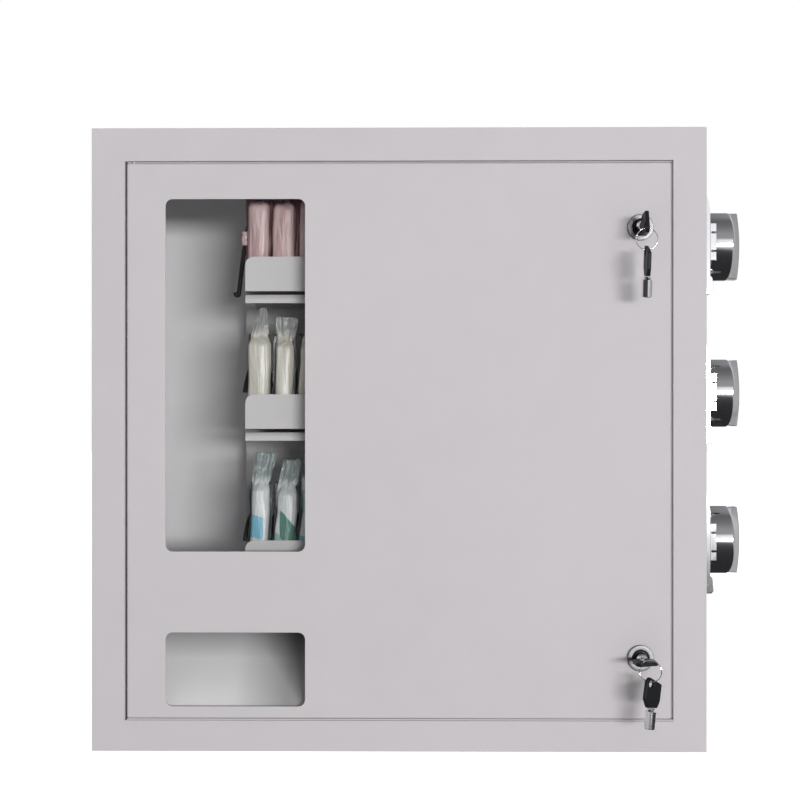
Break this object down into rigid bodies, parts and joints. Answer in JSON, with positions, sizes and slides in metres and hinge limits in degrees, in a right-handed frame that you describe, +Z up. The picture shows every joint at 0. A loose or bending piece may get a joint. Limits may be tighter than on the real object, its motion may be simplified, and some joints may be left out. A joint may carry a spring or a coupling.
{
  "type": "wall vending cabinet",
  "caption": "Wall-hung coin vending cabinet with stacked spiral tiers of packets behind a hinged windowed door, key locks, side knobs and a drop chute.",
  "frame": {"origin": "middle of the cabinet's base, on its underside, half-way between front and back", "axes": "+X to the viewer's right, towards the knobs; -Y towards the viewer, out of the front; +Z up"},
  "size_m": [0.5948, 0.206, 0.558],
  "materials": {
    "cabinet_paint": "satin",
    "inner_paint": "satin",
    "plain_zinc": "satin",
    "chrome": "polished",
    "bright_steel": "satin",
    "mechanism_metal": "satin",
    "black_wire": "satin",
    "lock_black": "satin",
    "key_black": "satin",
    "white_plastic": "matte",
    "clear_pane": "gloss",
    "pink_packets": "satin",
    "cream_packets": "satin",
    "white_packets": "satin"
  },
  "bodies": {
    "cabinet": {"cabinet_shell": "cabinet_paint", "front_frame": "cabinet_paint", "back_panel": "cabinet_paint", "tray_back_plate": "inner_paint", "tray_upper": "inner_paint", "tray_middle": "inner_paint", "tray_lower": "inner_paint", "shelf_upper": "inner_paint", "shelf_middle": "inner_paint", "shelf_lower": "inner_paint", "drop_chute": "inner_paint", "coin_box": "plain_zinc", "coin_duct": "plain_zinc", "mech_plate_upper": "chrome", "mech_plate_middle": "chrome", "mech_plate_lower": "chrome", "mech_body_upper": "mechanism_metal", "mech_body_middle": "mechanism_metal", "mech_body_lower": "mechanism_metal", "hinge_pin_upper": "bright_steel", "hinge_pin_lower": "bright_steel"},
    "door": {"door_panel": "cabinet_paint", "window_pane": "clear_pane", "pane_strip_left": "plain_zinc", "pane_strip_right": "plain_zinc", "lock_body_upper": "chrome", "lock_body_lower": "chrome", "lock_nut_upper": "bright_steel", "lock_nut_lower": "bright_steel"},
    "lock_upper": {"lock_plug_upper": "lock_black", "lock_cam_upper": "bright_steel", "cam_screw_upper": "bright_steel", "inserted_key_upper_barrel": "chrome", "inserted_key_upper_head": "key_black"},
    "ring_upper": {"key_ring_upper": "chrome"},
    "spare_upper": {"spare_key_upper_barrel": "chrome", "spare_key_upper_head": "key_black"},
    "lock_lower": {"lock_plug_lower": "lock_black", "lock_cam_lower": "bright_steel", "cam_screw_lower": "bright_steel", "inserted_key_lower_barrel": "chrome", "inserted_key_lower_head": "key_black"},
    "ring_lower": {"key_ring_lower": "chrome"},
    "spare_lower": {"spare_key_lower_barrel": "chrome", "spare_key_lower_head": "key_black"},
    "drive_upper": {"knob_upper": "chrome", "drive_shaft_upper": "bright_steel", "spiral_hub_upper": "white_plastic", "spiral_upper": "black_wire"},
    "packet_row_upper": {"packets_upper": "pink_packets"},
    "drive_middle": {"knob_middle": "chrome", "drive_shaft_middle": "bright_steel", "spiral_hub_middle": "white_plastic", "spiral_middle": "black_wire"},
    "packet_row_middle": {"packets_middle": "cream_packets"},
    "drive_lower": {"knob_lower": "chrome", "drive_shaft_lower": "bright_steel", "spiral_hub_lower": "white_plastic", "spiral_lower": "black_wire"},
    "packet_row_lower": {"packets_lower": "white_packets"}
  },
  "joints": [
    {"name": "door_turn", "type": "hinge", "parent": "cabinet", "child": "door", "pos_m": [-0.2379, -0.0758, 0.0293], "axis": [0, 0, -1], "range_deg": [0, 110]},
    {"name": "lock_turn_upper", "type": "hinge", "parent": "door", "child": "lock_upper", "pos_m": [0.2157, -0.08, 0.4682], "axis": [0, 1, 0], "range_deg": [0, 90]},
    {"name": "ring_swing_upper", "type": "hinge", "parent": "lock_upper", "child": "ring_upper", "pos_m": [0.2157, -0.1131, 0.46245], "axis": [-1, 0, 0], "range_deg": [-12, 60]},
    {"name": "spare_swing_upper", "type": "hinge", "parent": "ring_upper", "child": "spare_upper", "pos_m": [0.2157, -0.1131, 0.44365], "axis": [-1, 0, 0], "range_deg": [-12, 60]},
    {"name": "lock_turn_lower", "type": "hinge", "parent": "door", "child": "lock_lower", "pos_m": [0.2157, -0.08, 0.0841], "axis": [0, 1, 0], "range_deg": [0, 90]},
    {"name": "ring_swing_lower", "type": "hinge", "parent": "lock_lower", "child": "ring_lower", "pos_m": [0.21142, -0.11292, 0.0841], "axis": [-0.9659, 0.2588, 0], "range_deg": [-12, 20]},
    {"name": "spare_swing_lower", "type": "hinge", "parent": "ring_lower", "child": "spare_lower", "pos_m": [0.21841, -0.11479, 0.0687], "axis": [-0.9659, 0.2588, 0], "range_deg": [-12, 25]},
    {"name": "knob_turn_upper", "type": "hinge", "parent": "cabinet", "child": "drive_upper", "pos_m": [0.275, -0.014, 0.46], "axis": [-1, 0, 0], "range_deg": [0, 360]},
    {"name": "packet_slide_upper", "type": "slide", "parent": "cabinet", "child": "packet_row_upper", "axis": [-1, 0, 0], "range_m": [0, 0.0228]},
    {"name": "knob_turn_middle", "type": "hinge", "parent": "cabinet", "child": "drive_middle", "pos_m": [0.275, -0.014, 0.3226], "axis": [-1, 0, 0], "range_deg": [0, 360]},
    {"name": "packet_slide_middle", "type": "slide", "parent": "cabinet", "child": "packet_row_middle", "axis": [-1, 0, 0], "range_m": [0, 0.0228]},
    {"name": "knob_turn_lower", "type": "hinge", "parent": "cabinet", "child": "drive_lower", "pos_m": [0.275, -0.014, 0.1852], "axis": [-1, 0, 0], "range_deg": [0, 360]},
    {"name": "packet_slide_lower", "type": "slide", "parent": "cabinet", "child": "packet_row_lower", "axis": [-1, 0, 0], "range_m": [0, 0.0228]}
  ],
  "couplings": [
    {"joint": "packet_slide_upper", "follows": "knob_turn_upper", "m_per_rad": 0.003628},
    {"joint": "packet_slide_middle", "follows": "knob_turn_middle", "m_per_rad": 0.003628},
    {"joint": "packet_slide_lower", "follows": "knob_turn_lower", "m_per_rad": 0.003628}
  ]
}
